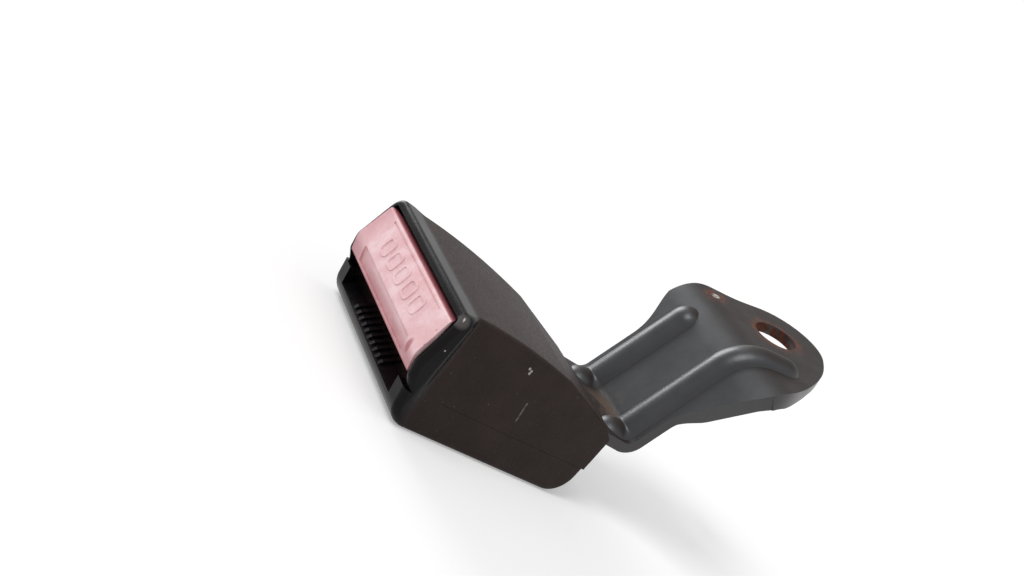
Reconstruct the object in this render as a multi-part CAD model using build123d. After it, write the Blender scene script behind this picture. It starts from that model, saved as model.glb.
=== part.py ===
from build123d import *
import os
from math import cos, radians, sin, tan

# Seat belt buckle on a rigid pressed-steel stalk. Millimetres, +Z up.
# The buckle lies on its flat lower cover: X runs across it, the mouth faces -Y and the
# stalk leaves the back and climbs. Every piece is drawn from a datum in the middle of
# the mouth, level with the sill of the lip, and is moved at the end so that the centre
# of the anchor hole, on the upper face of the eye plate, is the origin.

# ---------------------------------------------------------------- driving dimensions
# Housing
mouth_width = 56.4           # across the housing at the mouth, level with the sill
tail_width = 45.0            # the same at the back
base_length = 59.0           # mouth to tail, where those widths are taken
bottom_drop = 2.0            # the flat underside lies this far below the sill
crown_height = 28.7          # crown of the top, above the sill
wall = 2.0                   # moulded wall of both covers
parting_height = 7.2         # joint between the covers, above the sill
rim_corner = 3.0             # corner radius of the rim, seen from the mouth
rim_round = 1.4              # rounding of the rim's front edge
rim_depth = 1.0              # the sides stay upright to this far behind the datum
shoulder_start = 5.0         # the leaning shoulders start here
upright_narrowing = 1.1      # crown edge inside the foot, at the rim
shoulder_narrowing = 4.7     # crown edge inside the foot, behind the rim
crown_end_y = 8.0            # the top starts to fall here
kink_y = 41.0                # the top turns down here
kink_drop = 3.3              # crown to kink
tail_top_y = 60.6            # back edge of the top
tail_drop = 9.2              # crown to the back edge of the top
nose_y = 65.0                # rearmost edge of the housing
nose_height = 16.6           # height of that edge
edge_radius = 1.2            # rounding of the long top edges
foot_radius = 1.6            # rounding of the long bottom edges
lip_corner = 6.5             # rounding under the lip
tail_corner = 8.0            # rounding under the tail
tail_foot_y = 61.2           # underside and tail slope would meet here
# Front of the upper cover in side view, from the crown down to the joint
rim_profile = [(-1.2, 28.7), (-2.2, 25.0), (-4.1, 14.2), (-3.1, 10.2), (-0.9, 7.2)]
rim_profile_radii = [0, 10, 5, 2.5, 0]
lip_top_y = -1.9             # front of the lower cover at the joint
lip_foot_y = 0.3             # front of the lower cover at the underside
lap_height = 1.4             # the lower cover's lap stands this far into the upper cover
lap_thickness = 0.9
lap_gap = 0.12

# Release button
button_travel = 3.6
button_gap = 0.2             # round the button when it is fully in
button_profile = [(-2.7, 25.6), (-4.8, 14.9), (-3.2, 10.2)]   # front face, side view
button_profile_radii = [1.0, 4.5, 0.7]
button_depth = 3.2           # back edge of the button's skirt, behind the datum
button_wall = 1.7
mark_height = 4.8            # five outlined bars stand where lettering would be
mark_width = 4.4
mark_pitch = 6.1
mark_line = 0.6
mark_relief = 0.25
mark_z = 20.2
groove_z = 24.3              # fine groove above the marks
scoop_depth = 0.5            # shallow hollow under the ridge
scoop_half = 19.0

# Frame and tongue channel
plate_thickness = 2.5
plate_bottom = 4.4
frame_width = 33.0           # across the outside of the side walls
frame_height = 16.0          # top of the side walls, above the bottom face
frame_front_y = 7.3
frame_wall_front_y = 12.0
frame_wall_back_y = 46.0
tail_plate_width = 28.0      # base plate under the rivets
tongue_slot_height = 3.0     # clear height over the plate for the belt tongue
mouth_lip_height = 2.3       # front edge of the lead-in ramp
mouth_opening = 45.0          # clear width of the mouth
guide_rib_count = 10
guide_rib_pitch = 2.55
guide_rib_width = 1.1
guide_rib_height = 0.8

# Latch
pivot_y = 37.0
pivot_z = 12.5
pivot_radius = 2.0
running_clearance = 0.06     # radial, latch on its pin
latch_reach = 22.0           # pivot to the front edge of the latch
latch_lift_angle = 15.0
latch_thickness = 3.0
latch_arm_width = 3.0
latch_side_gap = 0.3
tooth_width = 11.6
tooth_length = 4.0
tooth_depth = 1.5            # how far the tooth sits in the plate's window

# Ejector
ejector_front_y = 12.5
ejector_thickness = 2.8
slide_clearance = 0.1

# Springs: outside diameter and wire
button_spring = (5.0, 0.6)
latch_spring = (5.4, 0.6)
ejector_spring = (3.4, 0.5)

# Stalk
stalk_thickness = 3.0
stalk_width = 34.0
stalk_exit_height = 14.9     # underside of the stalk where it leaves the housing
stalk_pad_width = 27.0
stalk_pad_front_y = 44.8
stalk_pad_back_y = 55.5
stalk_crank_y = 60.5         # the inner crank ends here
lower_bend_y = 73.2
stalk_rise_angle = 72.7      # climb of the straight run above the bottom face
stalk_rise_length = 38.3     # between the two bends
eye_angle = 15.6             # eye plate above the bottom face
lower_bend_radius = 4.5      # on the middle of the sheet
upper_bend_radius = 12.0
crank_radius = 3.0
bead_offset = 11.0           # centre of each bead from the middle of the stalk
bead_radius = 5.4            # outside, about the back face of the sheet
bead_splay = 4.2             # the right bead runs outward by this on the eye plate
bead_eye_run = 10.6          # and this far along it
far_bead_length = 31.0       # the left bead stops short of the upper bend
hole_diameter = 12.6
hole_from_bend = 18.9
hole_offset = -2.0
eye_margin = 8.5             # metal left round the front of the hole
flare_left = 23.0            # half widths of the flare at the upper bend
flare_right = 28.4
turned_edge_width = 2.6      # the right edge is turned back by this much metal
turned_edge_depth = 2.1

# Fasteners
rivet_radius = 2.8
rivet_head_radius = 4.2
rivet_head_height = 1.7
rivet_offset = 7.5
rivet_y = 49.0
screw_radius = 1.45
screw_head_radius = 2.7
screw_head_height = 1.7
screw_length = 15.0
front_screw = (22.6, 12.6)
rear_screw = (18.0, 52.5)
boss_radius = 2.4
fit_gap = 0.05               # fixed pins, rivets and screws in their holes

# ---------------------------------------------------------------- sizes that follow
plate_top = plate_bottom + plate_thickness
frame_half = frame_width / 2
frame_inner_half = frame_half - plate_thickness
latch_half = frame_inner_half - latch_side_gap
latch_bottom = plate_top + tongue_slot_height + 1.1
latch_top = latch_bottom + latch_thickness
latch_front_y = pivot_y - latch_reach
stalk_exit_mid = stalk_exit_height + stalk_thickness / 2
pad_mid = plate_top + stalk_thickness / 2
side_reach = mouth_width     # half width of tools that must pass the whole housing


# ---------------------------------------------------------------- drawing helpers
def outline(points, radii=0.0):
    """Closed flat face through the points, each corner rounded by its own radius."""
    if not hasattr(radii, "__len__"):
        radii = [radii] * len(points)
    return make_face(FilletPolyline(*points, radius=radii, close=True))


def side_prism(points, x_low, x_high, radii=0.0):
    """Outline of (y, z) points carried across the buckle from x_low to x_high."""
    face = Plane.YZ.offset(x_low) * outline(points, radii)
    return extrude(face, amount=x_high - x_low, dir=(1, 0, 0))


def plan_prism(points, z_low, z_high, radii=0.0):
    """Outline of (x, y) points carried upward from z_low to z_high."""
    face = Plane.XY.offset(z_low) * outline(points, radii)
    return extrude(face, amount=z_high - z_low, dir=(0, 0, 1))


def block(x_low, x_high, y_low, y_high, z_low, z_high):
    centre = Pos((x_low + x_high) / 2, (y_low + y_high) / 2, (z_low + z_high) / 2)
    return centre * Box(x_high - x_low, y_high - y_low, z_high - z_low)


def rod(radius, start, direction, length):
    """Round bar from start along direction."""
    return Solid.extrude(Plane(origin=start, z_dir=direction) * Circle(radius).face(),
                         Vector(*direction).normalized() * length)


def both_sides(part):
    """The part and its mirror image on the other side of the buckle."""
    return part + mirror(part, about=Plane.YZ)


def coil(size, start, direction, length, turns):
    """Compression spring of (outside diameter, wire) standing on start."""
    outside, wire = size
    radius = (outside - wire) / 2
    height = length - wire
    path = Helix(pitch=height / turns, height=height, radius=radius)
    section = Plane(origin=path @ 0, z_dir=path % 0) * Circle(wire / 2)
    spring = sweep(section, path=path, is_frenet=True)
    foot = Vector(*start) + Vector(*direction) * (wire / 2)
    return Plane(origin=foot, z_dir=direction) * spring


# ---------------------------------------------------------------- housing form
def half_bottom(y):
    return (mouth_width + (tail_width - mouth_width) * y / base_length) / 2


def behind_rim(y):
    """0 at the rim, easing to 1 where the leaning shoulders start."""
    share = min(max((y - rim_depth) / (shoulder_start - rim_depth), 0), 1)
    return share * share * (3 - 2 * share)


def half_top(y):
    """Half width between the sharp top edges: upright at the rim, leaning behind it."""
    narrowing = (shoulder_narrowing - upright_narrowing) * behind_rim(y)
    return half_bottom(y) - upright_narrowing - narrowing


def top_height(y):
    """Height of the top along the middle of the housing."""
    if y <= crown_end_y:
        return crown_height
    if y <= kink_y:
        share = (y - crown_end_y) / (kink_y - crown_end_y)
        return crown_height - kink_drop * share ** 1.8
    slope = (tail_drop - kink_drop) / (tail_top_y - kink_y)
    return crown_height - kink_drop - slope * (y - kink_y)


def housing_section(y, inset):
    """Cross-section of the housing at y, drawn inset inside its outer faces."""
    low = half_bottom(y) - inset
    high = half_top(y) - inset
    bottom, top = inset - bottom_drop, top_height(y) - inset
    corner = max(rim_corner + (edge_radius - rim_corner) * behind_rim(y) - inset, 0.3)
    points = [(-low, bottom), (low, bottom), (high, top), (-high, top)]
    return Plane.XZ.offset(-y) * outline(points, [0, 0, corner, corner])


def side_slab(front, front_radii, inset):
    """Slab with the housing's side view: a given front, a rounded foot and the tail."""
    slope_y = nose_y - tail_top_y
    slope_z = crown_height - tail_drop - nose_height
    high = nose_height + 5 * slope_z
    points = front + [(lip_foot_y, -bottom_drop), (tail_foot_y, -bottom_drop),
                      (nose_y, nose_height), (nose_y - 5 * slope_y, high),
                      (front[0][0], high)]
    face = outline(points, front_radii + [lip_corner, tail_corner, edge_radius, 0, 0])
    if inset:
        face = offset(face, amount=-inset, kind=Kind.INTERSECTION)
    return extrude(Plane.YZ * face, amount=side_reach, both=True)


def housing_form(inset=0.0):
    """Lofted form of the housing, drawn inset inside its outer faces, with open ends."""
    flare = [rim_depth + (shoulder_start - rim_depth) * step / 4 for step in range(5)]
    stretches = [[-9, rim_depth], flare, [shoulder_start, 17, 29, kink_y], [kink_y, nose_y + 2]]
    form = Part()
    for stretch in stretches:
        form += loft([housing_section(y, inset) for y in stretch])
    return form


def core(inset):
    """The housing's space inside a skin of the given thickness."""
    return housing_form(inset) & side_slab([(lip_top_y, parting_height)], [0], inset)


def above(height):
    return block(-side_reach, side_reach, -20, 90, height, 60)


def below(height):
    return block(-side_reach, side_reach, -20, 90, -20, height)


def outer_housing():
    """Outer forms of the upper and lower cover, with the rim and the feet rounded."""
    form = housing_form()
    upper = form & side_slab(rim_profile, rim_profile_radii, 0) & above(parting_height)
    rim = [e for e in upper.edges() if e.center().Y < rim_depth
           and e.center().Z > parting_height + 0.3
           and (abs(e.center().X) > mouth_width / 3 or e.center().Z > crown_height - 1)]
    upper = fillet(rim, rim_round)
    lower = form & side_slab([(lip_top_y, parting_height)], [0], 0) & below(parting_height)
    feet = [e for e in lower.edges() if abs(e.center().X) > tail_width / 3
            and e.center().Z < parting_height - 0.3]
    lower = fillet(feet, foot_radius)
    return upper, lower


def cavity():
    """Space inside the walls, open to the front through the rim."""
    throat = block(-side_reach, side_reach, -9, wall + lip_corner,
                   wall - bottom_drop, crown_height)
    return core(wall) + (housing_form(wall) & throat)


def screw_points():
    return [(side * x, y) for x, y in (front_screw, rear_screw) for side in (-1, 1)]


def upper_cover(outer, inner):
    """Faceted upper cover with the smooth rim, screw bosses and spring seats."""
    cover = outer - inner
    within = core(wall / 2) & above(parting_height)

    bosses = Part()
    for x, y in screw_points():
        bosses += rod(boss_radius, (x, y, parting_height), (0, 0, 1), crown_height)
    seat_x = spring_seat_x()
    seats = both_sides(block(seat_x[0], seat_x[1], spring_seat_y(), spring_seat_y() + wall,
                             leg_top() + 1.0, crown_height))
    hold_down = both_sides(block(frame_half - plate_thickness, frame_half, 31.5, 33.5,
                                 frame_height + 0.15, crown_height))
    latch_spigot = rod(1.6, (0, latch_spring_y(), latch_spring_top() - 1.5), (0, 0, 1), 6)
    latch_spigot += rod(3.2, (0, latch_spring_y(), latch_spring_top()), (0, 0, 1), 6)
    cover += (bosses + seats + hold_down + latch_spigot) & within

    for x, y in screw_points():
        depth = screw_top() - parting_height + 0.6
        cover -= rod(screw_radius + fit_gap, (x, y, parting_height), (0, 0, 1), depth)
    cover -= stalk_opening()
    cover -= lap(lap_gap, parting_height + lap_height + lap_gap)
    return cover


def lap(gap, top):
    """Ring that stands up inside the joint, grown by gap."""
    ring = core(wall - lap_thickness - gap) - core(wall + 0.01)
    band = block(-side_reach, side_reach, frame_front_y + 3, 90, parting_height - 0.01, top)
    return ring & band


def lower_cover(outer):
    """Flat tray with the ribbed lead-in ramp, plate pads and screw bosses."""
    tray = outer - (core(wall) & below(parting_height + 1))
    within = core(wall / 2) & below(parting_height)
    bottom = -bottom_drop
    ramp_back = frame_front_y - 0.25
    front_z = mouth_lip_height - ramp_slope() * 3
    ramp = side_prism([(ramp_front_y() - 3, front_z), (ramp_front_y() - 3, bottom),
                       (ramp_back, bottom), (ramp_back, plate_top),
                       (ramp_top_y(), plate_top)], -side_reach, side_reach)
    tray += ramp & outer
    tray -= mouth_gap()
    tray += guide_ribs() & outer

    additions = Part()
    for x, y in screw_points():
        additions += rod(boss_radius + 1.2, (x, y, bottom), (0, 0, 1), parting_height + 9)
    pad_half = tail_plate_width / 2
    for y_low, y_high in ((frame_front_y + 1, frame_front_y + 3), (27, 29), (42, 44)):
        additions += block(-pad_half, pad_half, y_low, y_high, bottom, plate_bottom)
    tray += additions & within
    tray += lap(0, parting_height + lap_height) - stalk_opening()
    for x, y in screw_points():
        tray -= rod(screw_radius + 0.15, (x, y, -9), (0, 0, 1), 30)
        tray -= rod(screw_head_radius + 0.3, (x, y, -9), (0, 0, 1), 9 + screw_seat())
    return tray


def ramp_front_y():
    return -0.72


def ramp_top_y():
    return frame_front_y - 1.6


def ramp_slope():
    return (plate_top - mouth_lip_height) / (ramp_top_y() - ramp_front_y())


def ramp_z(y):
    return mouth_lip_height + ramp_slope() * (y - ramp_front_y())


def mouth_gap():
    """Space above the lead-in ramp, open to the front between the side walls."""
    front, back, top = ramp_front_y() - 3, ramp_top_y(), parting_height + 1
    points = [(front, ramp_z(front)), (back, ramp_z(back)), (back, top), (front, top)]
    return side_prism(points, -mouth_opening / 2, mouth_opening / 2)


def guide_ribs():
    """Short ribs on the lead-in ramp that steer the tongue."""
    start, end = ramp_front_y() + 0.3, ramp_top_y() - 1.0

    points = [(start, ramp_z(start) - 0.6), (end, ramp_z(end) - 0.6),
              (end, ramp_z(end) + 0.1), (end - 1.2, ramp_z(end - 1.2) + guide_rib_height),
              (start + 0.6, ramp_z(start + 0.6) + guide_rib_height),
              (start, ramp_z(start) + 0.1)]
    rib = side_prism(points, -guide_rib_width / 2, guide_rib_width / 2)
    first = -(guide_rib_count - 1) / 2 * guide_rib_pitch
    ribs = Part()
    for index in range(guide_rib_count):
        ribs += Pos(first + index * guide_rib_pitch, 0, 0) * rib
    return ribs


def stalk_opening():
    """Slot in the back of the housing that the stalk passes through."""
    gap = 0.5
    half = stalk_width / 2 + gap
    return block(-half, half, base_length - 6, nose_y + 5, stalk_exit_height - gap,
                 stalk_exit_height + stalk_thickness + gap)


# ---------------------------------------------------------------- release button
def leg_inner():
    return frame_half + 0.6


def leg_outer():
    return leg_inner() + 2.6


def leg_top():
    return 16.5


def spring_seat_y():
    return 14.0


def spring_seat_x():
    return (frame_half - 2.0, leg_outer() + 0.8)


def button_spring_place():
    """x, z of the two return springs."""
    return (leg_inner() - 0.6, 21.2)


def ear_corner():
    """y, z of the lower front corner of the latch's ear, at rest."""
    return (pivot_y - 14.2, frame_height + 0.6)


def cam_points():
    """The leg's cam: each point stays just under the ear as the latch lifts."""
    clearance = 0.3
    ear_y, ear_z = ear_corner()
    dy, dz = ear_y - pivot_y, ear_z - pivot_z
    points = []
    for step in (0, 1, 2, 3, 4):
        share = step / 4
        angle = radians(latch_lift_angle) * share
        y = pivot_y + dy * cos(angle) + dz * sin(angle)
        z = pivot_z - dy * sin(angle) + dz * cos(angle)
        points.append((y - button_travel * share - clearance * 0.8, z - clearance))
    return points


def button_form(shift, low, high):
    """The button's side view, from low to high, its face moved back by shift."""
    face = [(y + shift, z) for y, z in button_profile]
    face[0] = (face[0][0], high)
    face[-1] = (face[-1][0], low)
    points = face + [(button_depth, low), (button_depth, high)]
    return side_prism(points, -side_reach, side_reach, button_profile_radii + [0, 0])


def button_plug(gap):
    """Room for the button: what still passes the cavity when it is pressed in."""
    return Pos(0, -button_travel, 0) * housing_form(wall + gap)


def button_marks():
    """Five outlined bars, raised in place of lettering, and the fine groove above."""
    ring = RectangleRounded(mark_width, mark_height, 1.2)
    ring -= RectangleRounded(mark_width - 2 * mark_line, mark_height - 2 * mark_line, 0.7)
    bars = Sketch() + [Pos(index * mark_pitch, mark_z) * ring for index in (-2, -1, 0, 1, 2)]
    raised = extrude(Plane.XZ * bars, amount=10)
    groove = extrude(Plane.XZ * Pos(0, groove_z) * Rectangle(2 * scoop_half, 0.5), amount=10)
    return raised, groove


def release_button():
    """Hollow push button with a sloped thumb face and two cam legs."""
    top, bottom = button_profile[0][1], button_profile[-1][1]
    t = button_wall
    body = button_form(0, bottom, top) & button_plug(button_gap)
    raised, groove = button_marks()
    body += button_form(-mark_relief, bottom, top) & raised
    body -= groove - button_form(0.3, bottom, top)
    ridge_z = button_profile[1][1]
    scoop = plan_prism([(-scoop_half, -9), (scoop_half, -9), (scoop_half, 0),
                        (-scoop_half, 0)], bottom + 1.0, ridge_z + 0.4)
    body -= scoop - button_form(scoop_depth, bottom, top)
    hollow = button_form(t + 0.3, bottom + 1.2, top - t)
    hollow += Pos(0, 2, 0) * hollow
    body -= hollow & button_plug(button_gap + t)

    cam = cam_points()
    front = button_profile[1][0] + t
    leg_bottom = bottom + 1.2
    hook_y = spring_seat_y() + wall + 0.3
    leg_view = [(front, leg_bottom), (cam[0][0] + 1.6, leg_bottom),
                (cam[0][0] + 1.6, cam[0][1] - 2.0)] + cam
    leg_view += [(hook_y, cam[-1][1]), (hook_y, leg_top()), (front, leg_top())]
    body += both_sides(side_prism(leg_view, leg_inner(), leg_outer()))

    spring_x, spring_z = button_spring_place()
    return body + both_sides(rod(1.5, (spring_x, button_back() - 0.8, spring_z), (0, 1, 0), 2.6))


def button_back():
    """Inner face of the button where its return springs stand."""
    (y_high, z_high), (y_low, z_low) = button_profile[0], button_profile[1]
    share = (button_spring_place()[1] + 2.5 - z_low) / (z_high - z_low)
    return y_low + share * (y_high - y_low) + button_wall + 0.6


# ---------------------------------------------------------------- frame
def buckle_frame():
    """Steel channel: base plate, two side walls, tongue window and spring stop."""
    half_tail = tail_plate_width / 2
    inner_bend = 0.6
    outer_bend = inner_bend + plate_thickness
    section = [(-frame_half, frame_height), (-frame_half, plate_bottom),
               (frame_half, plate_bottom), (frame_half, frame_height),
               (frame_inner_half, frame_height), (frame_inner_half, plate_top),
               (-frame_inner_half, plate_top), (-frame_inner_half, frame_height)]
    bends = [0, outer_bend, outer_bend, 0, 0, inner_bend, inner_bend, 0]
    channel_face = Plane.XZ.offset(-frame_front_y) * outline(section, bends)
    channel = extrude(channel_face, amount=stalk_pad_back_y - frame_front_y, dir=(0, 1, 0))

    plan = plan_prism([(-frame_half, frame_front_y), (frame_half, frame_front_y),
                       (frame_half, frame_wall_back_y), (half_tail, frame_wall_back_y + 2),
                       (half_tail, stalk_pad_back_y), (-half_tail, stalk_pad_back_y),
                       (-half_tail, frame_wall_back_y + 2), (-frame_half, frame_wall_back_y)],
                      0, 40, [2, 2, 0.5, 0.5, 2, 2, 0.5, 0.5])
    view = [(frame_front_y - 1, plate_bottom - 1), (stalk_pad_back_y + 1, plate_bottom - 1),
            (stalk_pad_back_y + 1, plate_top), (frame_wall_back_y, plate_top),
            (frame_wall_back_y, frame_height - 3), (frame_wall_back_y - 4, frame_height),
            (frame_wall_front_y + 7, frame_height), (frame_wall_front_y, plate_top + 3),
            (frame_wall_front_y, plate_top), (frame_front_y - 1, plate_top)]
    walls = side_prism(view, -side_reach, side_reach, [0, 0, 0, 0.5, 2, 2, 2, 1, 0.5, 0])
    stop = block(-4.5, 4.5, stop_y(), stop_y() + 2, plate_bottom + 1, plate_top + 3.9)
    frame = (channel & plan & walls) + stop

    window = tooth_window()
    frame -= block(-tooth_width / 2 - 0.6, tooth_width / 2 + 0.6, window[0], window[1], 0, 9)
    frame -= rod(pivot_radius + fit_gap, (-30, pivot_y, pivot_z), (1, 0, 0), 60)
    frame -= rod(spacer_radius() + fit_gap, (-30, spacer_y(), spacer_z()), (1, 0, 0), 60)
    for x in (-rivet_offset, rivet_offset):
        frame -= rod(rivet_radius + fit_gap, (x, rivet_y, 0), (0, 0, 1), 12)
    return frame


def tooth_window():
    back = pivot_y - 16.5
    return (back - tooth_length - 1.4, back + 0.7)


def stop_y():
    return 41.8


def spacer_radius():
    return 2.0


def spacer_y():
    return 43.3


def spacer_z():
    return 14.35 - 0.35


def frame_spacer_pin():
    """Shouldered pin that keeps the side walls apart behind the latch."""
    radius = spacer_radius()
    pin = rod(radius, (-frame_half - 0.9, spacer_y(), spacer_z()), (1, 0, 0),
              frame_width + 1.8)
    for side in (-1, 1):
        x = side * (frame_half + 0.05)
        pin += rod(radius + 0.8, (x, spacer_y(), spacer_z()), (side, 0, 0), 0.85)
    return pin


# ---------------------------------------------------------------- latch
def latch_lever():
    """Forked lever: two arms on the pivot pin, a cross plate and the locking tooth."""
    arm_inner = latch_half - latch_arm_width
    arm_view = [(latch_front_y, latch_bottom), (pivot_y, latch_bottom),
                (pivot_y, latch_top), (latch_front_y, latch_top)]
    arm = side_prism(arm_view, arm_inner, latch_half)
    arm += rod(3.6, (arm_inner, pivot_y, pivot_z), (1, 0, 0), latch_arm_width)
    ear_y, ear_z = ear_corner()
    arm += block(arm_inner, latch_half, ear_y, ear_y + 2.4, latch_top - 0.5, ear_z + 2)
    arm += block(arm_inner, leg_outer() - 0.1, ear_y, ear_y + 2.4, ear_z, ear_z + 2)
    lever = both_sides(arm)
    lever += block(-latch_half, latch_half, latch_front_y, latch_front_y + 6.5,
                   latch_bottom, latch_top)
    back = pivot_y - 16.5
    tooth_tip = plate_top - tooth_depth
    tooth_view = [(back - tooth_length, latch_bottom + 0.5), (back, latch_bottom + 0.5),
                  (back, tooth_tip), (back - 1.3, tooth_tip),
                  (back - tooth_length, plate_top + 2.1)]
    lever += side_prism(tooth_view, -tooth_width / 2, tooth_width / 2)
    lever += rod(1.6, (0, latch_spring_y(), latch_top - 0.5), (0, 0, 1), 2.0)
    lever -= rod(pivot_radius + running_clearance, (-30, pivot_y, pivot_z), (1, 0, 0), 60)
    return lever


def latch_spring_y():
    return latch_front_y + 3.2


def latch_spring_top():
    return top_height(latch_spring_y()) - wall


def latch_pivot_pin():
    """Headed pin through both side walls, grooved for its clip."""
    head_x = -frame_half - 0.05
    pin = rod(pivot_radius, (head_x, pivot_y, pivot_z), (1, 0, 0), frame_width + 2.1)
    pin += rod(3.2, (head_x - 1.2, pivot_y, pivot_z), (1, 0, 0), 1.2)
    groove = rod(pivot_radius + 1, (frame_half + 0.15, pivot_y, pivot_z), (1, 0, 0), 0.8)
    groove -= rod(pivot_radius - 0.5, (frame_half, pivot_y, pivot_z), (1, 0, 0), 2)
    return pin - groove


def pivot_pin_clip():
    """Open retaining clip in the pin's groove."""
    x = frame_half + 0.2
    clip = rod(3.4, (x, pivot_y, pivot_z), (1, 0, 0), 0.7)
    clip -= rod(pivot_radius - 0.5 + fit_gap, (x - 1, pivot_y, pivot_z), (1, 0, 0), 3)
    mouth = 2 * (pivot_radius - 0.5)
    return clip - block(x - 1, x + 2, pivot_y - mouth / 2, pivot_y + mouth / 2,
                        pivot_z - 6, pivot_z)


# ---------------------------------------------------------------- ejector
def ejector():
    """Sliding fork that straddles the tooth and pushes the tongue out."""
    bottom = plate_top + slide_clearance
    half = frame_inner_half - 0.35
    slot = tooth_width / 2 + 0.8
    front, back = ejector_front_y, ejector_block_y()
    points = [(-half, front), (-slot, front), (-slot, back - 0.5), (slot, back - 0.5),
              (slot, front), (half, front), (half, back), (4, back + 4.5),
              (-4, back + 4.5), (-half, back)]
    fork = plan_prism(points, bottom, bottom + ejector_thickness,
                      [1, 0.5, 0.5, 0.5, 0.5, 1, 1.5, 0.5, 0.5, 1.5])
    fork += block(-4, 4, back + 0.5, back + 4.5, bottom, spring_axis_z() + 1.5)
    fork += rod(1.0, (0, back + 4, spring_axis_z()), (0, 1, 0), 4.0)
    return fork


def ejector_block_y():
    return 22.0


def spring_axis_z():
    return plate_top + 1.8


# ---------------------------------------------------------------- stalk
def strip(points, radii, thickness):
    """Face of a bent sheet: its middle line is (y, z) points with rounded corners."""
    path = [Vector(*p) for p in points]
    left, right, left_radii, right_radii = [], [], [], []
    for index, here in enumerate(path):
        before = path[max(index - 1, 0)]
        after = path[min(index + 1, len(path) - 1)]
        d0 = (here - before).normalized() if index else (after - here).normalized()
        d1 = (after - here).normalized() if after != here else d0
        n0, n1 = Vector(-d0.Y, d0.X), Vector(-d1.Y, d1.X)
        mitre = (n0 + n1) * (thickness / 2 / (1 + n0.dot(n1)))
        left.append(here + mitre)
        right.append(here - mitre)
        radius = radii[index]
        turn = 1 if d0.cross(d1).Z > 0 else -1
        left_radii.append(max(radius - turn * thickness / 2, 0) if radius else 0)
        right_radii.append(radius + turn * thickness / 2 if radius else 0)
    ends = [tuple(p)[:2] for p in left + right[::-1]]
    return outline(ends, left_radii + right_radii[::-1])


def direction(angle):
    """Unit (y, z) direction at an angle above the bottom face."""
    return Vector(cos(radians(angle)), sin(radians(angle)))


def lower_corner():
    return Vector(lower_bend_y, stalk_exit_mid)


def upper_corner():
    return lower_corner() + direction(stalk_rise_angle) * stalk_rise_length


def bend_plane(corner, angle):
    """Drawing plane on the middle of the sheet: x across, y along the sheet."""
    along = direction(angle)
    return Plane(origin=(0, corner.X, corner.Y), x_dir=(1, 0, 0),
                 z_dir=(0, -along.Y, along.X))


def mitre_plane(corner, angle_before, angle_after):
    """Plane that halves a bend; its normal points along the stalk."""
    along = direction((angle_before + angle_after) / 2)
    return Plane(origin=(0, corner.X, corner.Y), z_dir=(0, along.X, along.Y))


def eye_outline():
    """Eye plate outline, with the rounded front concentric with the hole."""
    reach = hole_diameter / 2 + eye_margin
    hole_y = hole_from_bend
    tip = [(hole_offset + reach * cos(radians(a)), hole_y + reach * sin(radians(a)))
           for a in (60, 105, 160)]
    arc = ThreePointArc(*tip)
    edges = [
        Polyline((-flare_left, -12), (flare_right, -12), (flare_right, 1)),
        Spline((flare_right, 1), (flare_right - 3.0, 10.5), (flare_right - 12.6, 23.6), tip[0],
               tangents=[(0, 1), (-0.87, 0.5)]),
        arc,
        Spline(tip[2], (-flare_left + 5.0, 14.0), (-flare_left + 0.6, 4.0), (-flare_left, -2),
               tangents=[(-0.34, -0.94), (0, -1)]),
        Line((-flare_left, -2), (-flare_left, -12)),
    ]
    return make_face(Curve() + edges)


def rise_outline():
    """Outline of the climbing run: parallel, then flared towards the upper bend."""
    half = stalk_width / 2
    start = stalk_rise_length * 0.47
    end = stalk_rise_length * 0.86
    top = stalk_rise_length + 8
    right = [(half, -12), (half, stalk_rise_length * 0.38),
             (flare_right, stalk_rise_length * 0.94), (flare_right, top)]
    edges = [
        Polyline((-half, start), (-half, -12), (half, -12)),
        FilletPolyline(*right, radius=[12, 10]),
        Line((flare_right, top), (-flare_left, top)),
        Spline((-flare_left, top), (-flare_left, end), tangents=[(0, -1), (0, -1)]),
        Spline((-flare_left, end), (-half, start), tangents=[(0.35, -0.94), (0, -1)]),
    ]
    return make_face(Curve() + edges)


def bead_path(x, far):
    """Middle of a bead, on the back face of the sheet."""
    back = stalk_thickness / 2
    low = bend_plane(lower_corner(), stalk_rise_angle)
    half_turn = tan(radians(stalk_rise_angle / 2)) * back
    start = Vector(x, lower_bend_y - 3.4, stalk_exit_height)
    knee = low.from_local_coords(Vector(x, -half_turn, -back))
    if far:
        end = low.from_local_coords(Vector(x, far_bead_length, -back))
        return FilletPolyline(start, knee, end, radius=lower_bend_radius + back)
    high = bend_plane(upper_corner(), eye_angle)
    crest_turn = tan(radians((stalk_rise_angle - eye_angle) / 2)) * back
    crest = low.from_local_coords(Vector(x, stalk_rise_length - crest_turn, -back))
    end = high.from_local_coords(Vector(x + bead_splay, bead_eye_run, -back))
    return FilletPolyline(start, knee, crest, end,
                          radius=[lower_bend_radius + back, upper_bend_radius - back])


def bead_tool(x, far, radius):
    """Round bar with domed ends that follows a bead's path."""
    path = bead_path(x, far)
    bar = sweep(Plane(origin=path @ 0, z_dir=path % 0) * Circle(radius), path=path)
    for place in (path @ 0, path @ 1):
        bar += Pos(*place) * Sphere(radius)
    return bar


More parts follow.
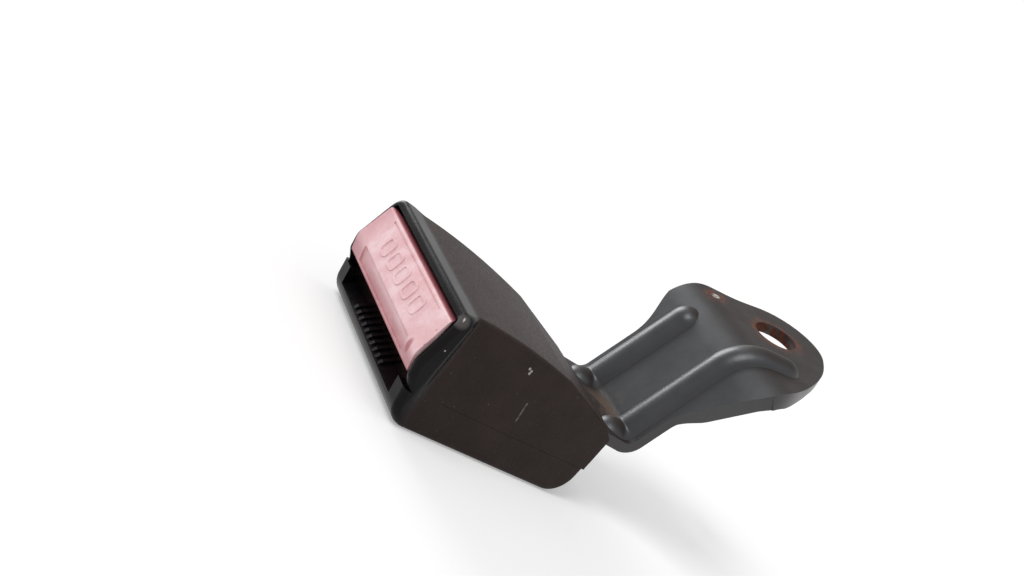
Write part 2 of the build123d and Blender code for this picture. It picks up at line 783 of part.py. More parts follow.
def behind_stalk():
    """Everything behind the back face of the stalk's outer run."""
    back = stalk_thickness / 2
    low = bend_plane(lower_corner(), stalk_rise_angle)
    high = bend_plane(upper_corner(), eye_angle)
    low_turn = tan(radians(stalk_rise_angle / 2)) * back
    high_turn = tan(radians((stalk_rise_angle - eye_angle) / 2)) * back
    knee = low.from_local_coords(Vector(0, -low_turn, -back))
    crest = low.from_local_coords(Vector(0, stalk_rise_length - high_turn, -back))
    end = high.from_local_coords(Vector(0, 60, -back))
    points = [(lower_bend_y - 30, stalk_exit_height), (knee.Y, knee.Z), (crest.Y, crest.Z),
              (end.Y, end.Z), (end.Y, -40), (lower_bend_y - 30, -40)]
    radii = [0, lower_bend_radius + back, upper_bend_radius - back, 0, 0, 0]
    return side_prism(points, -side_reach, side_reach, radii)


def turned_edge_profile():
    """Side view of the turned-back right edge: it grows up the run, rounds the bend and fades."""
    back = stalk_thickness / 2
    deep = back + turned_edge_depth
    low = bend_plane(lower_corner(), stalk_rise_angle)
    high = bend_plane(upper_corner(), eye_angle)
    half_turn = tan(radians((stalk_rise_angle - eye_angle) / 2))
    start = stalk_rise_length * 0.34
    points = [low.from_local_coords(Vector(0, start, 0)),
              low.from_local_coords(Vector(0, stalk_rise_length, 0)),
              high.from_local_coords(Vector(0, hole_from_bend, 0)),
              high.from_local_coords(Vector(0, hole_from_bend - 1, -back)),
              high.from_local_coords(Vector(0, hole_from_bend - 12, -deep)),
              low.from_local_coords(Vector(0, stalk_rise_length - half_turn * deep, -deep)),
              low.from_local_coords(Vector(0, start + 7, -deep)),
              low.from_local_coords(Vector(0, start + 1, -back))]
    radii = [0, upper_bend_radius, 0, 0, 6, upper_bend_radius - deep - 1, 6, 0]
    return [(point.Y, point.Z) for point in points], radii


def turned_edge(tool, outline_face, plane):
    """The part of the turned edge that follows one stretch's outline."""
    band = outline_face - Pos(-turned_edge_width, 0, 0) * outline_face
    return tool & extrude(plane * band, amount=12, both=True)


def anchor_stalk():
    """Pressed strip, cranked twice, with two beads, a flared eye plate and a turned edge."""
    eye_end = upper_corner() + direction(eye_angle) * 60
    middle = [(stalk_pad_front_y, pad_mid), (stalk_pad_back_y, pad_mid),
              (stalk_crank_y, stalk_exit_mid), tuple(lower_corner())[:2],
              tuple(upper_corner())[:2], tuple(eye_end)[:2]]
    radii = [0, crank_radius, crank_radius, lower_bend_radius, upper_bend_radius, 0]
    face = Plane.YZ.offset(-side_reach) * strip(middle, radii, stalk_thickness)
    sheet = extrude(face, amount=2 * side_reach, dir=(1, 0, 0))

    low_cut = mitre_plane(lower_corner(), 0, stalk_rise_angle)
    high_cut = mitre_plane(upper_corner(), stalk_rise_angle, eye_angle)
    half, tail = stalk_width / 2, stalk_pad_width / 2
    inner_plan = plan_prism([(-tail, stalk_pad_front_y - 1), (tail, stalk_pad_front_y - 1),
                             (tail, stalk_crank_y - 2), (half, stalk_crank_y + 1),
                             (half, 90), (-half, 90), (-half, stalk_crank_y + 1),
                             (-tail, stalk_crank_y - 2)], 0, 40, [0, 0, 2, 2, 0, 0, 2, 2])
    inner = split(sheet, low_cut, Keep.BOTTOM) & inner_plan
    rise_tool = extrude(bend_plane(lower_corner(), stalk_rise_angle) * rise_outline(),
                        amount=12, both=True)
    outer_part = split(sheet, low_cut, Keep.TOP)
    rise = split(outer_part, high_cut, Keep.BOTTOM) & rise_tool
    eye_tool = extrude(bend_plane(upper_corner(), eye_angle) * eye_outline(),
                       amount=12, both=True)
    eye = split(outer_part, high_cut, Keep.TOP) & eye_tool
    stalk = inner + rise + eye

    points, edge_radii = turned_edge_profile()
    edge = side_prism(points, half - turned_edge_width, flare_right + 2, edge_radii)
    stalk += turned_edge(split(edge, high_cut, Keep.BOTTOM), rise_outline(),
                         bend_plane(lower_corner(), stalk_rise_angle))
    stalk += turned_edge(split(edge, high_cut, Keep.TOP), eye_outline(),
                         bend_plane(upper_corner(), eye_angle))

    clear = behind_stalk()
    for x, far in ((-bead_offset, True), (bead_offset, False)):
        stalk += bead_tool(x, far, bead_radius) - clear
    for x, far in ((-bead_offset, True), (bead_offset, False)):
        stalk -= bead_tool(x, far, bead_radius - stalk_thickness)
    hole = bend_plane(upper_corner(), eye_angle) * Pos(hole_offset, hole_from_bend, 0)
    stalk -= hole * Cylinder(hole_diameter / 2, 20)
    for x in (-rivet_offset, rivet_offset):
        stalk -= rod(rivet_radius + fit_gap, (x, rivet_y, 0), (0, 0, 1), 14)
    return stalk


def anchor_point():
    """Centre of the anchor hole on the upper face of the eye plate."""
    plane = bend_plane(upper_corner(), eye_angle)
    return plane.from_local_coords(Vector(hole_offset, hole_from_bend, stalk_thickness / 2))


# ---------------------------------------------------------------- fasteners
def stalk_rivet(x):
    """Rivet through the frame plate and the stalk pad, headed on both sides."""
    top = plate_top + stalk_thickness
    rivet = rod(rivet_radius, (x, rivet_y, plate_bottom - 0.5), (0, 0, 1), top - plate_bottom + 1)
    for start, sense in ((plate_bottom - fit_gap, -1), (top + fit_gap, 1)):
        head = Cylinder(rivet_head_radius, rivet_head_height, align=(Align.CENTER, Align.CENTER, Align.MIN))
        rim = head.edges().filter_by(GeomType.CIRCLE).sort_by(Axis.Z)[-1]
        head = fillet(rim, rivet_head_height * 0.6)
        rivet += Plane(origin=(x, rivet_y, start), z_dir=(0, 0, sense)) * head
    return rivet


def screw_seat():
    return 2.2 - bottom_drop


def screw_top():
    return screw_seat() + screw_length


def cover_screw(x, y):
    """Pan-head tapping screw from below, with a cross recess."""
    shank = rod(screw_radius, (x, y, screw_seat() - 0.1), (0, 0, 1), screw_length - 0.9)
    tip = Pos(x, y, screw_top() - 0.5) * Cone(screw_radius, 0.4, 1.0)
    head = rod(screw_head_radius, (x, y, screw_seat() - fit_gap), (0, 0, -1),
               screw_head_height)
    rim = head.edges().filter_by(GeomType.CIRCLE).sort_by(Axis.Z)[0]
    head = fillet(rim, 0.8)
    bottom = screw_seat() - fit_gap - screw_head_height
    for long_x, long_y in ((1.5, 0.35), (0.35, 1.5)):
        head -= block(x - long_x, x + long_x, y - long_y, y + long_y, bottom - 1, bottom + 1)
    return shank + tip + head


# ---------------------------------------------------------------- assembly
def build():
    upper, lower = outer_housing()
    inner = cavity()
    spring_x, spring_z = button_spring_place()
    seat_y = spring_seat_y()
    block_back = ejector_block_y() + 4.5
    latch_foot = (0, latch_spring_y(), latch_top)
    parts = {
        "upper_cover": upper_cover(upper, inner),
        "lower_cover": lower_cover(lower),
        "release_button": release_button(),
        "buckle_frame": buckle_frame(),
        "frame_spacer_pin": frame_spacer_pin(),
        "latch_lever": latch_lever(),
        "latch_pivot_pin": latch_pivot_pin(),
        "pivot_pin_clip": pivot_pin_clip(),
        "latch_spring": coil(latch_spring, latch_foot, (0, 0, 1),
                             latch_spring_top() - latch_top, 6),
        "ejector": ejector(),
        "ejector_spring": coil(ejector_spring, (0, block_back, spring_axis_z()), (0, 1, 0),
                               stop_y() - block_back, 8),
        "anchor_stalk": anchor_stalk(),
    }
    for side, word in ((-1, "left"), (1, "right")):
        start = (side * spring_x, button_back(), spring_z)
        parts["button_spring_" + word] = coil(button_spring, start, (0, 1, 0),
                                              seat_y - button_back() - 0.05, 6)
        parts["stalk_rivet_" + word] = stalk_rivet(side * rivet_offset)
    for end, (x, y) in (("front", front_screw), ("rear", rear_screw)):
        for side, word in ((-1, "left"), (1, "right")):
            parts["cover_screw_" + end + "_" + word] = cover_screw(side * x, y)
    return parts


os.makedirs("parts", exist_ok=True)
shift = Pos(*(-anchor_point()))
for name, piece in build().items():
    export_step(shift * piece, os.path.join("parts", name + ".step"))
print("anchor hole from the datum:", anchor_point())
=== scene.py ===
import math

import bpy
from mathutils import Matrix, Vector


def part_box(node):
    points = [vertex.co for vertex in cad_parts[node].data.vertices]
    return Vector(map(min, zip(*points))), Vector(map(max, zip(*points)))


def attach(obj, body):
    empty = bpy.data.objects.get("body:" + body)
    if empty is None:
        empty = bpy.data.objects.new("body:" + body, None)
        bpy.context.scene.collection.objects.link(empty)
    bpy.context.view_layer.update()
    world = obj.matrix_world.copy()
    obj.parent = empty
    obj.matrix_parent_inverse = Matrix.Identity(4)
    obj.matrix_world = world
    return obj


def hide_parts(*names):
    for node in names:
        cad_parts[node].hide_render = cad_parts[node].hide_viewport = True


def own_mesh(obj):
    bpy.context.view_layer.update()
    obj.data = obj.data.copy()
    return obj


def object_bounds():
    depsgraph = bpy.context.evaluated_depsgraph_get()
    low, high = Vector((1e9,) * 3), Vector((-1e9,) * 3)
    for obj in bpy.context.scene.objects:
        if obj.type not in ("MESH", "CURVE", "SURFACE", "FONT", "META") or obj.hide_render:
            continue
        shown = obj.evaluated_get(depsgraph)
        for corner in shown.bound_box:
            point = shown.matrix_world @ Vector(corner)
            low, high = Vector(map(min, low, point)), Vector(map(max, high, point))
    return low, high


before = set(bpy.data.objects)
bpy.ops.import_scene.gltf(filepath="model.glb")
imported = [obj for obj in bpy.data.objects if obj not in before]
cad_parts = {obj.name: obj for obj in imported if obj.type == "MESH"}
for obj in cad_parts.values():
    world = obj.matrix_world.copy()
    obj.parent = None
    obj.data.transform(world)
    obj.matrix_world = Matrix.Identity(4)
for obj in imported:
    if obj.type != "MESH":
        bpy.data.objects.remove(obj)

cad_low, cad_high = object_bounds()

MM = 0.001

# Places on the housing are measured from its mouth: its middle, level with the joint's sill.
UNDERSIDE_MM = -2.0
BUTTON_FRONT_MM = -4.65
JOINT_MM = 7.2            # height of the joint between the two covers
housing_low, housing_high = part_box("upper_cover")
MOUTH = Vector((
    (housing_low.x + housing_high.x) / 2,
    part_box("release_button")[0].y - BUTTON_FRONT_MM * MM,
    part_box("lower_cover")[0].z - UNDERSIDE_MM * MM,
))


def from_mouth(x, y, z):
    """A place in the part's frame from millimetres measured from the mouth."""
    return MOUTH + Vector((x, y, z)) * MM


# The photograph's camera.
CAMERA_PLACE = from_mouth(260.8, -178.7, 110.9)
CAMERA_FORWARD = Vector((-0.7696, 0.5942, -0.2338))
CAMERA_RIGHT = Vector((0.3265, 0.6809, 0.6555))
FOCAL_PIXELS = 1400
IMAGE_WIDTH_PIXELS = 1024
IMAGE_HEIGHT_PIXELS = 576
SENSOR_WIDTH_MM = 36.0


def seen_at(node, right, down):
    """Where the photograph's camera meets a CAD node at this pixel."""
    forward = CAMERA_FORWARD.normalized()
    side = (CAMERA_RIGHT - forward * CAMERA_RIGHT.dot(forward)).normalized()
    below = forward.cross(side)
    ray = (forward + side * ((right - IMAGE_WIDTH_PIXELS / 2) / FOCAL_PIXELS)
           + below * ((down - IMAGE_HEIGHT_PIXELS / 2) / FOCAL_PIXELS))
    hit, place, normal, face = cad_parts[node].ray_cast(CAMERA_PLACE, ray.normalized())
    if not hit:
        raise ValueError(f"no part of {node} at pixel {right}, {down}")
    return place


# ------------------------------------------------------------------ node helpers


class Paint:
    """Builds one material's nodes, each call adding a node and returning its output."""

    def __init__(self, name):
        self.material = bpy.data.materials.new(name)
        self.material.use_nodes = True
        self.tree = self.material.node_tree
        self.tree.nodes.clear()
        self.output = self.tree.nodes.new("ShaderNodeOutputMaterial")
        self.shader = self.tree.nodes.new("ShaderNodeBsdfPrincipled")
        self.tree.links.new(self.shader.outputs["BSDF"], self.output.inputs["Surface"])
        self.place = self.tree.nodes.new("ShaderNodeTexCoord").outputs["Object"]

    def put(self, socket, value):
        """Links a node's output to a socket, or sets a plain value on it."""
        if isinstance(value, bpy.types.NodeSocket):
            self.tree.links.new(value, socket)
        else:
            socket.default_value = value

    def set(self, name, value):
        self.put(self.shader.inputs[name], value)

    def math(self, operation, a, b=0.0, clamp=False):
        node = self.tree.nodes.new("ShaderNodeMath")
        node.operation = operation
        node.use_clamp = clamp
        self.put(node.inputs[0], a)
        self.put(node.inputs[1], b)
        return node.outputs[0]

    def noise(self, size_mm, detail=3.0, roughness=0.55, stretch=(1, 1, 1), offset=0.0):
        """Noise with blotches about size_mm across, drawn out along the axes in stretch."""
        mapping = self.tree.nodes.new("ShaderNodeMapping")
        self.put(mapping.inputs["Vector"], self.place)
        mapping.inputs["Location"].default_value = (offset, offset * 0.7, offset * 1.3)
        mapping.inputs["Scale"].default_value = [1 / s for s in stretch]
        node = self.tree.nodes.new("ShaderNodeTexNoise")
        self.put(node.inputs["Vector"], mapping.outputs["Vector"])
        node.inputs["Scale"].default_value = 1 / (size_mm * MM)
        node.inputs["Detail"].default_value = detail
        node.inputs["Roughness"].default_value = roughness
        return node.outputs["Fac"]

    def ramp(self, value, low, high, start=0.0, end=1.0):
        """Start below low, end above high, and a smooth change between them."""
        node = self.tree.nodes.new("ShaderNodeMapRange")
        node.interpolation_type = "SMOOTHSTEP"
        self.put(node.inputs["Value"], value)
        node.inputs["From Min"].default_value = low
        node.inputs["From Max"].default_value = high
        node.inputs["To Min"].default_value = start
        node.inputs["To Max"].default_value = end
        return node.outputs["Result"]

    def mix(self, amount, a, b):
        node = self.tree.nodes.new("ShaderNodeMix")
        node.data_type = "RGBA"
        self.put(node.inputs[0], amount)
        self.put(node.inputs[6], a)
        self.put(node.inputs[7], b)
        return node.outputs[2]

    def axis(self, name):
        """The surface point's X, Y or Z in metres."""
        node = self.tree.nodes.new("ShaderNodeSeparateXYZ")
        self.put(node.inputs[0], self.place)
        return node.outputs[name]

    def facing(self, name):
        """The surface normal's X, Y or Z."""
        geometry = self.tree.nodes.new("ShaderNodeNewGeometry")
        node = self.tree.nodes.new("ShaderNodeSeparateXYZ")
        self.put(node.inputs[0], geometry.outputs["Normal"])
        return node.outputs[name]

    def spot(self, centre, radius_mm, soft_mm, scale=(1, 1, 1)):
        """One at the centre, falling to nothing at the radius."""
        away = self.vector("SUBTRACT", self.place, centre)
        distance = self.vector("LENGTH", self.vector("DIVIDE", away, scale))
        return self.ramp(distance, (radius_mm - soft_mm) * MM, radius_mm * MM, 1.0, 0.0)

    def line(self, start, end, radius_mm, soft_mm):
        """One along the straight line between two places, falling to nothing at the radius."""
        along = end - start
        away = self.vector("SUBTRACT", self.place, start)
        reached = self.vector("DOT_PRODUCT", away, along)
        share = self.math("DIVIDE", reached, along.length_squared, clamp=True)
        nearest = self.vector("MULTIPLY", self.spread(share), along)
        distance = self.vector("LENGTH", self.vector("SUBTRACT", away, nearest))
        return self.ramp(distance, (radius_mm - soft_mm) * MM, radius_mm * MM, 1.0, 0.0)

    def vector(self, operation, a, b=None):
        node = self.tree.nodes.new("ShaderNodeVectorMath")
        node.operation = operation
        self.put(node.inputs[0], a)
        if b is not None:
            self.put(node.inputs[1], b)
        return node.outputs["Value" if operation in ("DOT_PRODUCT", "LENGTH") else "Vector"]

    def spread(self, value):
        """The same number on all three axes."""
        node = self.tree.nodes.new("ShaderNodeCombineXYZ")
        for socket in node.inputs:
            self.put(socket, value)
        return node.outputs[0]

    def bump(self, height, distance_mm, strength=1.0):
        node = self.tree.nodes.new("ShaderNodeBump")
        node.inputs["Strength"].default_value = strength
        node.inputs["Distance"].default_value = distance_mm * MM
        self.put(node.inputs["Height"], height)
        self.put(self.shader.inputs["Normal"], node.outputs["Normal"])


def shade(red, green, blue):
    """A colour from 0 to 255 display values."""
    def linear(value):
        value = value / 255
        return value / 12.92 if value <= 0.04045 else ((value + 0.055) / 1.055) ** 2.4
    return (linear(red), linear(green), linear(blue), 1.0)


# ------------------------------------------------------------------ materials

# Marks that the photograph shows, by their pixels in it.
FLECK_PIXEL = (445.0, 351.0)
POLISHED_PIXEL = (462.0, 321.0)
NICK_PIXELS = ((530.0, 369.0), (531.5, 371.5), (529.5, 373.5))
SCRATCH_PIXELS = ((527.0, 404.0), (516.0, 421.0))
BLEMISH_PIXEL = (408.0, 345.0)
DIRT_PIXEL = (604.0, 407.0)
WORN_PIXEL = (716.0, 296.0)
HOLE_RADIUS_MM = 6.3


def housing_plastic():
    """Brownish black moulded plastic: spark-eroded grain, with a smooth glossy band round the mouth."""
    paint = Paint("housing_grained_plastic")
    grain = paint.noise(0.5, detail=2.0, roughness=0.6)
    fine = paint.noise(0.2, detail=2.0, roughness=0.6, offset=3.0)
    cloud = paint.noise(12.0, detail=5.0, roughness=0.6, offset=1.0)
    smooth_end = from_mouth(0, 2.4, 0).y
    grained = paint.ramp(paint.axis("Y"), smooth_end, smooth_end + 2.2 * MM)

    base = paint.mix(paint.ramp(cloud, 0.35, 0.7), shade(34, 24, 22), shade(44, 33, 30))
    base = paint.mix(paint.ramp(grain, 0.5, 0.75, 0.0, 0.5), base, shade(60, 49, 45))
    smooth = paint.mix(paint.ramp(cloud, 0.35, 0.7), shade(11, 10, 12), shade(18, 17, 20))
    colour = paint.mix(grained, smooth, base)
    patches = paint.ramp(paint.noise(6.0, detail=6.0, roughness=0.65, offset=2.0), 0.4, 0.75, 0.05, 0.5)
    dust = paint.math("MULTIPLY", paint.ramp(paint.facing("Z"), 0.1, 0.9), patches)
    dust = paint.math("MULTIPLY", dust, grained)
    colour = paint.mix(dust, colour, shade(48, 39, 36))
    specks = paint.ramp(paint.noise(0.8, detail=1.0, offset=7.0), 0.76, 0.80, 0.0, 0.8)
    specks = paint.math("MULTIPLY", specks, grained)
    colour = paint.mix(specks, colour, shade(104, 92, 80))

    above_joint = paint.math("SUBTRACT", paint.axis("Z"), from_mouth(0, 0, JOINT_MM).z)
    near_joint = paint.math("ABSOLUTE", above_joint)
    seam = paint.ramp(near_joint, 0.04 * MM, 0.2 * MM, 0.6, 0.0)
    behind_mouth = paint.ramp(paint.axis("Y"), from_mouth(0, 8, 0).y, from_mouth(0, 12, 0).y)
    colour = paint.mix(paint.math("MULTIPLY", seam, behind_mouth), colour, shade(12, 10, 10))

    marks = paint.spot(seen_at("upper_cover", *FLECK_PIXEL), 0.32, 0.2)
    for right, down in NICK_PIXELS:
        marks = paint.math("MAXIMUM", marks, paint.spot(seen_at("upper_cover", right, down), 0.5, 0.3))
    worn = paint.ramp(paint.noise(0.8, detail=4.0, offset=4.0), 0.3, 0.7, 0.05, 0.4)
    scratch = paint.line(seen_at("upper_cover", *SCRATCH_PIXELS[0]),
                         seen_at("upper_cover", *SCRATCH_PIXELS[1]), 0.4, 0.35)
    marks = paint.math("MAXIMUM", marks, paint.math("MULTIPLY", scratch, worn))
    colour = paint.mix(marks, colour, shade(184, 178, 172))
    paint.set("Base Color", colour)

    rough = paint.ramp(grain, 0.3, 0.7, 0.5, 0.64)
    gloss = paint.ramp(cloud, 0.3, 0.7, 0.2, 0.28)
    rough = paint.math("MULTIPLY", rough, grained)
    gloss = paint.math("MULTIPLY", gloss, paint.math("SUBTRACT", 1.0, grained))
    polished = paint.spot(seen_at("upper_cover", *POLISHED_PIXEL), 2.6, 1.6)
    rough = paint.math("ADD", rough, gloss)
    paint.set("Roughness", paint.math("MULTIPLY", rough, paint.ramp(polished, 0, 1, 1.0, 0.75)))
    level = paint.ramp(grained, 0, 1, 0.12, 0.17)
    paint.set("Specular IOR Level", paint.math("MAXIMUM", level, paint.math("MULTIPLY", polished, 0.9)))
    paint.set("Specular Tint", (1.0, 0.94, 0.92, 1.0))
    height = paint.math("ADD", grain, paint.math("MULTIPLY", fine, 0.5))
    paint.bump(paint.math("MULTIPLY", height, paint.ramp(grained, 0, 1, 0.1, 1.0)), 0.09, 0.8)
    return paint.material


def button_plastic():
    """Faded red plastic gone pink, darker where fingers rub it, with painted shade darkening the lower
    band of its face.
    """
    paint = Paint("button_faded_plastic")
    cloud = paint.noise(6.0, detail=6.0, roughness=0.68)
    grain = paint.noise(0.35, detail=2.0, offset=2.0)
    across, depth, height = paint.axis("X"), paint.axis("Y"), paint.axis("Z")
    base = paint.mix(paint.ramp(cloud, 0.34, 0.68), shade(230, 184, 188), shade(244, 212, 216))
    mottle = paint.ramp(paint.noise(2.2, detail=5.0, roughness=0.7, offset=6.0), 0.54, 0.78, 0.0, 0.4)
    base = paint.mix(mottle, base, shade(212, 160, 165))
    # Painted shade: the lower band of the button's face, which slopes down towards the slot, is darkened
    # by height to stand in for its shade.
    painted_lower_shade = paint.ramp(height, from_mouth(0, 0, 12.0).z, from_mouth(0, 0, 15.5).z, 0.75, 0.0)
    painted_lower_shade = paint.math("MULTIPLY", painted_lower_shade, paint.ramp(cloud, 0.3, 0.6, 0.4, 1.0))
    base = paint.mix(painted_lower_shade, base, shade(184, 122, 128))
    far_end = paint.ramp(across, from_mouth(-24.5, 0, 0).x, from_mouth(-17, 0, 0).x, 0.5, 0.0)
    base = paint.mix(far_end, base, shade(204, 146, 153))
    blemish = paint.spot(seen_at("release_button", *BLEMISH_PIXEL), 1.7, 0.9, (0.8, 1.0, 1.5))
    base = paint.mix(paint.math("MULTIPLY", blemish, 0.8), base, shade(176, 100, 106))
    top_edge = paint.ramp(height, from_mouth(0, 0, 25.2).z, from_mouth(0, 0, 25.55).z)
    low_edge = paint.ramp(height, from_mouth(0, 0, 10.3).z, from_mouth(0, 0, 10.9).z, 1.0, 0.0)
    behind = paint.ramp(depth, from_mouth(0, -2.6, 0).y, from_mouth(0, -1.6, 0).y)
    unfaded = paint.math("MAXIMUM", paint.math("MAXIMUM", top_edge, low_edge), behind)
    base = paint.mix(paint.math("MULTIPLY", unfaded, 0.85), base, shade(132, 26, 44))
    flecks = paint.ramp(paint.noise(0.9, detail=1.0, offset=5.0), 0.76, 0.79, 0.0, 0.6)
    base = paint.mix(flecks, base, shade(140, 90, 88))
    paint.set("Base Color", base)
    paint.set("Roughness", paint.ramp(cloud, 0.3, 0.7, 0.5, 0.62))
    paint.set("Specular IOR Level", 0.3)
    paint.bump(grain, 0.03, 0.6)
    return paint.material


def stalk_enamel():
    """Glossy blue-black enamel on pressed steel, with rust at the hole and dirt at the root."""
    paint = Paint("stalk_black_enamel")
    cloud = paint.noise(9.0, detail=5.0, roughness=0.6)
    fine = paint.noise(0.9, detail=3.0, offset=4.0)
    base = paint.mix(paint.ramp(cloud, 0.35, 0.68), shade(26, 25, 28), shade(36, 35, 39))
    grime = paint.noise(5.0, detail=6.0, roughness=0.7, offset=6.0)
    on_eye = paint.ramp(paint.facing("Z"), 0.55, 0.95, 0.0, 0.75)
    brown = paint.math("MAXIMUM", paint.ramp(grime, 0.54, 0.74, 0.0, 0.7), on_eye)
    base = paint.mix(brown, base, shade(46, 39, 35))
    edge = paint.ramp(paint.facing("X"), 0.6, 0.95, 0.0, 0.8)
    base = paint.mix(edge, base, shade(38, 28, 26))
    root = paint.spot(seen_at("anchor_stalk", *DIRT_PIXEL), 7.0, 5.5, (1.6, 1.0, 1.0))
    root = paint.math("MULTIPLY", root, paint.ramp(grime, 0.4, 0.6))
    base = paint.mix(root, base, shade(92, 80, 70))
    torn = paint.ramp(paint.noise(2.2, detail=6.0, roughness=0.7, offset=8.0), 0.4, 0.58)
    inside_hole = paint.spot(Vector((0, 0, -1.5 * MM)), HOLE_RADIUS_MM + 0.25, 0.2)
    round_hole = paint.math("MULTIPLY", paint.spot(Vector((0, 0, 0)), 9.6, 3.2), torn)
    rust = paint.math("MAXIMUM", paint.math("MULTIPLY", inside_hole, 0.85), round_hole)
    worn_place = seen_at("anchor_stalk", *WORN_PIXEL)
    worn_rust = paint.math("MULTIPLY", paint.spot(worn_place, 5.0, 3.5), torn)
    rust = paint.math("MAXIMUM", rust, worn_rust)
    rust_tone = paint.mix(paint.ramp(fine, 0.4, 0.6), shade(104, 56, 36), shade(78, 52, 40))
    base = paint.mix(rust, base, rust_tone)
    chip = paint.math("MULTIPLY", paint.spot(worn_place, 1.5, 0.8), paint.ramp(fine, 0.36, 0.5))
    base = paint.mix(chip, base, shade(190, 186, 180))
    paint.set("Base Color", base)
    rough = paint.ramp(cloud, 0.3, 0.7, 0.3, 0.4)
    dull = paint.math("MAXIMUM", paint.math("MAXIMUM", rust, on_eye), root)
    paint.set("Roughness", paint.math("ADD", rough, paint.math("MULTIPLY", dull, 0.3)))
    paint.set("Specular IOR Level", paint.ramp(dull, 0, 1, 0.6, 0.1))
    paint.set("Specular Tint", (0.93, 0.97, 1.0, 1.0))
    height = paint.math("ADD", paint.math("MULTIPLY", cloud, 2.0), fine)
    paint.bump(height, 0.05, 0.5)
    return paint.material


def plated_steel(name, dark, light, roughness, tarnish):
    """Rolled or drawn steel under a thin plating, with tarnish in patches."""
    paint = Paint(name)
    cloud = paint.noise(4.0, detail=5.0, roughness=0.65)
    brushed = paint.noise(0.35, detail=3.0, stretch=(1, 12, 1), offset=2.0)
    base = paint.mix(paint.ramp(cloud, 0.35, 0.68), dark, light)
    patches = paint.ramp(paint.noise(2.6, detail=6.0, roughness=0.7, offset=5.0), 0.58, 0.72, 0.0, 0.6)
    paint.set("Base Color", paint.mix(patches, base, tarnish))
    paint.set("Metallic", 0.9)
    paint.set("Roughness", paint.ramp(brushed, 0.3, 0.7, roughness - 0.06, roughness + 0.08))
    paint.bump(brushed, 0.015, 0.5)
    return paint.material


def slider_plastic():
    """Waxy dark grey acetal."""
    paint = Paint("slider_acetal")
    cloud = paint.noise(5.0, detail=4.0)
    paint.set("Base Color", paint.mix(paint.ramp(cloud, 0.35, 0.7), shade(58, 56, 54), shade(70, 67, 64)))
    paint.set("Roughness", paint.ramp(cloud, 0.3, 0.7, 0.38, 0.5))
    paint.bump(paint.noise(0.4, offset=2.0), 0.02, 0.4)
    return paint.material


def floor_paint():
    """Pale floor that reads as white and keeps the object's shadow."""
    paint = Paint("floor_white")
    paint.set("Base Color", FLOOR_COLOUR)
    paint.set("Roughness", 0.9)
    paint.set("Specular IOR Level", 0.0)
    seen = background_ray(paint.tree)
    lift = paint.math("MULTIPLY", seen, FLOOR_LIFT)
    paint.set("Emission Color", WHITE)
    paint.set("Emission Strength", lift)
    return paint.material


def background_ray(tree):
    """One for a ray that shows the background: from the camera, a mirror or glass."""
    path = tree.nodes.new("ShaderNodeLightPath")
    either = tree.nodes.new("ShaderNodeMath")
    either.operation = "MAXIMUM"
    tree.links.new(path.outputs["Is Camera Ray"], either.inputs[0])
    tree.links.new(path.outputs["Is Glossy Ray"], either.inputs[1])
    glass = tree.nodes.new("ShaderNodeMath")
    glass.operation = "MAXIMUM"
    tree.links.new(either.outputs[0], glass.inputs[0])
    tree.links.new(path.outputs["Is Transmission Ray"], glass.inputs[1])
    return glass.outputs[0]


# ------------------------------------------------------------------ stage, light and camera

FLOOR_LIFT = 0.30
FLOOR_COLOUR = (0.8, 0.8, 0.8, 1.0)
FLOOR_WIDTH = 6.0
FLOOR_GAP_MM = 0.05
WHITE = (1.0, 1.0, 1.0, 1.0)
WORLD_LEVEL = 0.5

# Each lamp's direction from the object, its width in degrees and its strength.
LAMPS = {
    "key_lamp": ((0.05, -0.60, 0.80), 28, 1.1),
    "left_lamp": ((-0.95, -0.15, 0.28), 34, 1.5),
}


def make_floor():
    height = cad_low.z - FLOOR_GAP_MM * MM
    bpy.ops.mesh.primitive_plane_add(size=FLOOR_WIDTH, location=(0, 0, height))
    floor = bpy.context.object
    floor.name = "floor"
    floor.data.materials.append(floor_paint())


def make_world():
    world = bpy.data.worlds.new("white_room")
    bpy.context.scene.world = world
    world.use_nodes = True
    tree = world.node_tree
    tree.nodes.clear()
    output = tree.nodes.new("ShaderNodeOutputWorld")
    seen = tree.nodes.new("ShaderNodeBackground")
    seen.inputs["Color"].default_value = WHITE
    seen.inputs["Strength"].default_value = 1.0
    lit = tree.nodes.new("ShaderNodeBackground")
    lit.inputs["Color"].default_value = WHITE
    lit.inputs["Strength"].default_value = WORLD_LEVEL
    either = tree.nodes.new("ShaderNodeMixShader")
    tree.links.new(background_ray(tree), either.inputs[0])
    tree.links.new(lit.outputs[0], either.inputs[1])
    tree.links.new(seen.outputs[0], either.inputs[2])
    tree.links.new(either.outputs[0], output.inputs["Surface"])


def soft_sun(name, direction, angle, strength):
    """Even light from one direction, soft as a large lamp far away."""
    data = bpy.data.lights.new(name, "SUN")
    data.angle = math.radians(angle)
    data.energy = strength
    lamp = bpy.data.objects.new(name, data)
    bpy.context.collection.objects.link(lamp)
    lamp.rotation_mode = "QUATERNION"
    lamp.rotation_quaternion = Vector(direction).to_track_quat("Z", "Y")


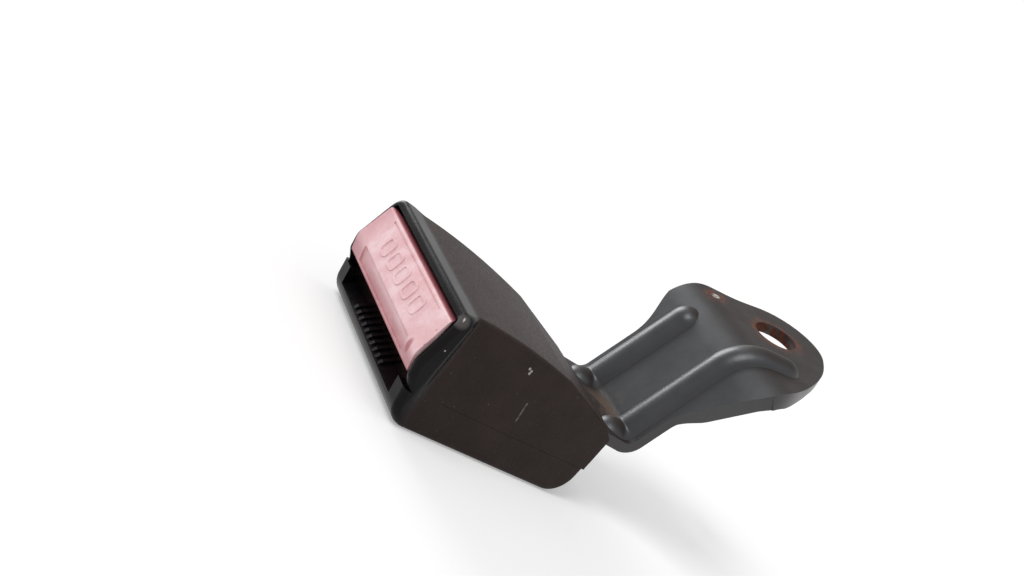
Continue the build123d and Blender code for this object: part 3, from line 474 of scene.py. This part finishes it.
def make_camera():
    data = bpy.data.cameras.new("camera")
    data.sensor_width = SENSOR_WIDTH_MM
    data.lens = FOCAL_PIXELS / IMAGE_WIDTH_PIXELS * SENSOR_WIDTH_MM
    data.clip_start = 0.01
    data.clip_end = 50.0
    camera = bpy.data.objects.new("camera", data)
    bpy.context.collection.objects.link(camera)
    back = -CAMERA_FORWARD.normalized()
    right = (CAMERA_RIGHT - back * CAMERA_RIGHT.dot(back)).normalized()
    up = back.cross(right)
    turn = Matrix((right, up, back)).transposed()
    camera.matrix_world = Matrix.Translation(CAMERA_PLACE) @ turn.to_4x4()
    bpy.context.scene.camera = camera


make_floor()
make_world()
for lamp_name, lamp_fit in LAMPS.items():
    soft_sun(lamp_name, *lamp_fit)
make_camera()

# ------------------------------------------------------------------ finishes

# How each spring shortens: the joint that moves it, the way towards its fixed end, and by how many
# millimetres. The latch spring clears the high side of a seat that tilts as the lever lifts.
SPRINGS = {
    "button_spring_left": ("button_press", (0, 1, 0), 3.6),
    "button_spring_right": ("button_press", (0, 1, 0), 3.6),
    "latch_spring": ("latch_lift", (0, 0, 1), 6.6),
    "ejector_spring": ("ejector_slide", (0, 1, 0), 9.0),
}


def shortening_spring(node, joint, axis, travel_mm):
    """Stands for a spring's CAD node with a copy of its mesh in spring wire, fixed to the housing."""
    spring = bpy.data.objects.new(node + "_coil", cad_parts[node].data.copy())
    bpy.context.collection.objects.link(spring)
    for slot in spring.material_slots:
        slot.material = FINISHES["spring"]
    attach(spring, "housing")
    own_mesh(spring)
    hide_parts(node)


# Each plated steel's darker and lighter tone, its roughness and its tarnish.
PLATINGS = {
    "frame_zinc_steel": (shade(110, 108, 104), shade(140, 138, 132), 0.38, shade(92, 66, 48)),
    "latch_hard_steel": (shade(84, 82, 80), shade(108, 105, 100), 0.34, shade(70, 54, 42)),
    "spring_wire": (shade(120, 118, 112), shade(150, 147, 140), 0.3, shade(96, 74, 52)),
    "screw_black_zinc": (shade(46, 45, 46), shade(62, 60, 60), 0.4, shade(74, 52, 40)),
}
STEELS = {name: plated_steel(name, *tones) for name, tones in PLATINGS.items()}

FINISHES = {
    "housing": housing_plastic(),
    "button": button_plastic(),
    "stalk": stalk_enamel(),
    "steel": STEELS["frame_zinc_steel"],
    "latch": STEELS["latch_hard_steel"],
    "spring": STEELS["spring_wire"],
    "slider": slider_plastic(),
    "screw": STEELS["screw_black_zinc"],
}

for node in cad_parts.values():
    for slot in node.material_slots:
        slot.material = FINISHES[slot.material.name]

for spring_node, fit in SPRINGS.items():
    shortening_spring(spring_node, *fit)

bpy.context.scene.view_settings.view_transform = "Standard"
